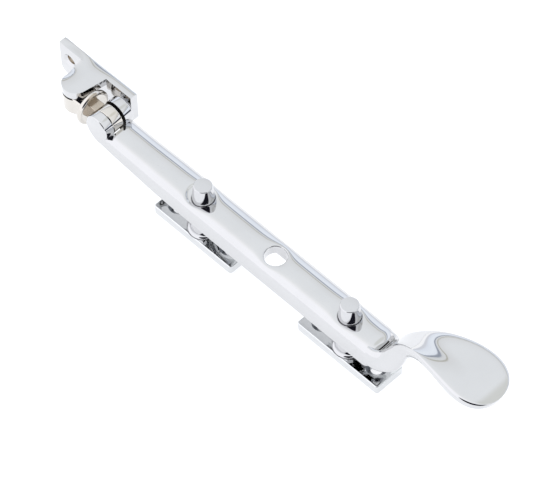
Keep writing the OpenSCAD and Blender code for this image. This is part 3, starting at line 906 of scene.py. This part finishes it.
def floor():
    """Pale paper just under the pin plates, which glows so that it comes out white."""
    z = (PIN_FACE - PIN_PLATE[2]) * MM - FLOOR_GAP
    half = FLOOR_HALF
    mesh = bpy.data.meshes.new("floor")
    mesh.from_pydata([(-half, -half, z), (half, -half, z), (half, half, z), (-half, half, z)], [],
                     [(0, 1, 2, 3)])
    obj = bpy.data.objects.new("floor", mesh)
    bpy.context.scene.collection.objects.link(obj)
    mat = bpy.data.materials.new("paper")
    tree = node_tree(mat)
    out = tree.nodes.new("ShaderNodeOutputMaterial")
    bsdf = tree.nodes.new("ShaderNodeBsdfPrincipled")
    bsdf.inputs["Base Color"].default_value = (*PAPER, 1)
    bsdf.inputs["Roughness"].default_value = 0.9
    bsdf.inputs["Specular IOR Level"].default_value = 0.0
    bsdf.inputs["Emission Color"].default_value = (*PAPER_GLOW, 1)
    bsdf.inputs["Emission Strength"].default_value = PAPER_GLOW_STRENGTH
    tree.links.new(bsdf.outputs[0], out.inputs[0])
    mesh.materials.append(mat)


floor()

# ---------------------------------------------------------------- studio
# The tent's shade against the angle up from the far side, in degrees, in a plane across the arm.
TENT = [(0, (1.40, 1.41, 1.43)), (10, (1.36, 1.38, 1.42)), (14, (0.95, 0.98, 1.06)),
        (19, (0.95, 0.98, 1.06)), (26, (1.10, 1.17, 1.29)), (38, (1.20, 1.27, 1.37)),
        (42.4, (1.14, 1.21, 1.32)), (43.5, (0.46, 0.50, 0.59)), (45.3, (0.46, 0.50, 0.59)),
        (46.3, (0.97, 1.0, 1.03)), (49.2, (0.99, 1.02, 1.04)), (49.9, (0.64, 0.63, 0.56)),
        (50.8, (0.64, 0.63, 0.56)), (51.5, (1.02, 1.04, 1.06)), (63.4, (1.12, 1.155, 1.19)),
        (77, (1.16, 1.19, 1.22)), (90, (1.30, 1.31, 1.33))]
NEAR_SIDE, NEAR_START, NEAR_END = (1.42, 1.43, 1.49), 0.13, -0.14
GREY_PANEL, GREY_PANEL_WAY, GREY_PANEL_EDGE = (0.95, 0.97, 0.95), (0.30, 0.41, 0.86), (7, 13)
DARK_WALL, DARK_WALL_BEARING, DARK_WALL_HEIGHT, DARK_WALL_SOFT = (0.04, 0.045, 0.07), (-30, 62), (-5, 11), 4
OPENING, OPENING_WAY, OPENING_EDGE = (0.02, 0.02, 0.03), (0.569, -0.478, 0.669), (30, 35)


def studio():
    """A white tent with two thin seams that run along the arm, a grey panel in its ceiling and a low
    dark wall on its far right. The dark room shows through the opening the camera looks in by."""
    world = bpy.data.worlds.new("studio")
    bpy.context.scene.world = world
    tree = node_tree(world)
    new, link = tree.nodes.new, tree.links.new
    out = new("ShaderNodeOutputWorld")
    background = new("ShaderNodeBackground")
    link(background.outputs[0], out.inputs[0])
    way = new("ShaderNodeTexCoord").outputs["Generated"]
    parts = new("ShaderNodeSeparateXYZ")
    link(way, parts.inputs[0])
    x, y, z = parts.outputs

    def maths(operation, a, b):
        node = new("ShaderNodeMath")
        node.operation = operation
        for value, socket in zip((a, b), node.inputs):
            if isinstance(value, float):
                socket.default_value = value
            else:
                link(value, socket)
        return node.outputs[0]

    def step(socket, start, end):
        """0 before start and 1 after end, or the other way about when end comes first."""
        span = new("ShaderNodeMapRange")
        span.interpolation_type = "SMOOTHSTEP"
        span.inputs["From Min"].default_value = min(start, end)
        span.inputs["From Max"].default_value = max(start, end)
        span.inputs["To Min"].default_value = 0 if start < end else 1
        span.inputs["To Max"].default_value = 1 if start < end else 0
        link(socket, span.inputs["Value"])
        return span.outputs["Result"]

    def blend(weight, under, shade):
        """The colour under, with a plain shade over it by weight."""
        node = new("ShaderNodeMix")
        node.data_type = "RGBA"
        link(weight, node.inputs["Factor"])
        link(under, node.inputs["A"])
        node.inputs["B"].default_value = (*shade, 1)
        return node.outputs["Result"]

    def disc(direction, edge):
        """1 close to a direction, falling to 0 between two angles from it, in degrees."""
        dot = new("ShaderNodeVectorMath")
        dot.operation = "DOT_PRODUCT"
        dot.inputs[1].default_value = direction
        link(way, dot.inputs[0])
        inner, outer = (math.cos(math.radians(angle)) for angle in edge)
        return step(dot.outputs["Value"], outer, inner)

    def between(socket, low, high, soft, scale):
        """1 between two angles in degrees, once scale has turned them into what socket gives."""
        rise = step(socket, scale(math.radians(low - soft)), scale(math.radians(low + soft)))
        fall = step(socket, scale(math.radians(high + soft)), scale(math.radians(high - soft)))
        return maths("MULTIPLY", rise, fall)

    ramp = new("ShaderNodeValToRGB")
    elements = ramp.color_ramp.elements
    while len(elements) < len(TENT):
        elements.new(0.5)
    for element, (degrees, shade) in zip(elements, TENT):
        element.position = degrees / 90
        element.color = (*shade, 1)
    link(maths("DIVIDE", maths("ARCTAN2", z, y), math.pi / 2), ramp.inputs["Fac"])

    bearing = between(maths("ARCTAN2", y, x), *DARK_WALL_BEARING, DARK_WALL_SOFT, float)
    height = between(z, *DARK_WALL_HEIGHT, DARK_WALL_SOFT / 2, math.sin)
    colour = blend(step(y, NEAR_START, NEAR_END), ramp.outputs["Color"], NEAR_SIDE)
    colour = blend(disc(GREY_PANEL_WAY, GREY_PANEL_EDGE), colour, GREY_PANEL)
    colour = blend(maths("MULTIPLY", bearing, height), colour, DARK_WALL)
    colour = blend(disc(OPENING_WAY, OPENING_EDGE), colour, OPENING)
    link(colour, background.inputs["Color"])


LIGHT_SIZE, LIGHT_AIM = 0.9, Vector((0.09, 0, 0))


def soft_light(name, place, power):
    light = bpy.data.lights.new(name, "AREA")
    light.shape, light.size, light.energy = "DISK", LIGHT_SIZE, power
    obj = bpy.data.objects.new(name, light)
    obj.location = place
    obj.rotation_euler = (LIGHT_AIM - Vector(place)).to_track_quat("-Z", "Y").to_euler()
    obj.visible_glossy = False
    bpy.context.scene.collection.objects.link(obj)


studio()
soft_light("key", (-0.5, 0.3, 1.0), 9.0)
soft_light("fill", (0.5, -0.7, 0.9), 5.0)

# ---------------------------------------------------------------- camera
# Angles in degrees, the place in millimetres, and the lens on a 36 mm wide sensor.
AZIMUTH, ELEVATION, ROLL = 46.665, 54.18, -1.662
CAMERA_AT = Vector((676.5, -553.3, 1101.8))
SENSOR, LENS = 36, 249.381818


def camera():
    azimuth, elevation, roll = map(math.radians, (AZIMUTH, ELEVATION, ROLL))
    away = Vector((math.sin(azimuth) * math.cos(elevation), -math.cos(azimuth) * math.cos(elevation),
                   math.sin(elevation)))
    level = Vector((math.cos(azimuth), math.sin(azimuth), 0))
    upright = away.cross(level)
    right = math.cos(roll) * level + math.sin(roll) * upright
    up = -math.sin(roll) * level + math.cos(roll) * upright
    data = bpy.data.cameras.new("camera")
    data.sensor_width, data.lens = SENSOR, LENS
    data.clip_start, data.clip_end = 0.05, 20
    obj = bpy.data.objects.new("camera", data)
    columns = Matrix((right, up, away)).transposed().to_4x4()
    obj.matrix_world = Matrix.Translation(CAMERA_AT * MM) @ columns
    bpy.context.scene.collection.objects.link(obj)
    bpy.context.scene.camera = obj


camera()
bpy.context.scene.view_settings.view_transform = "Standard"
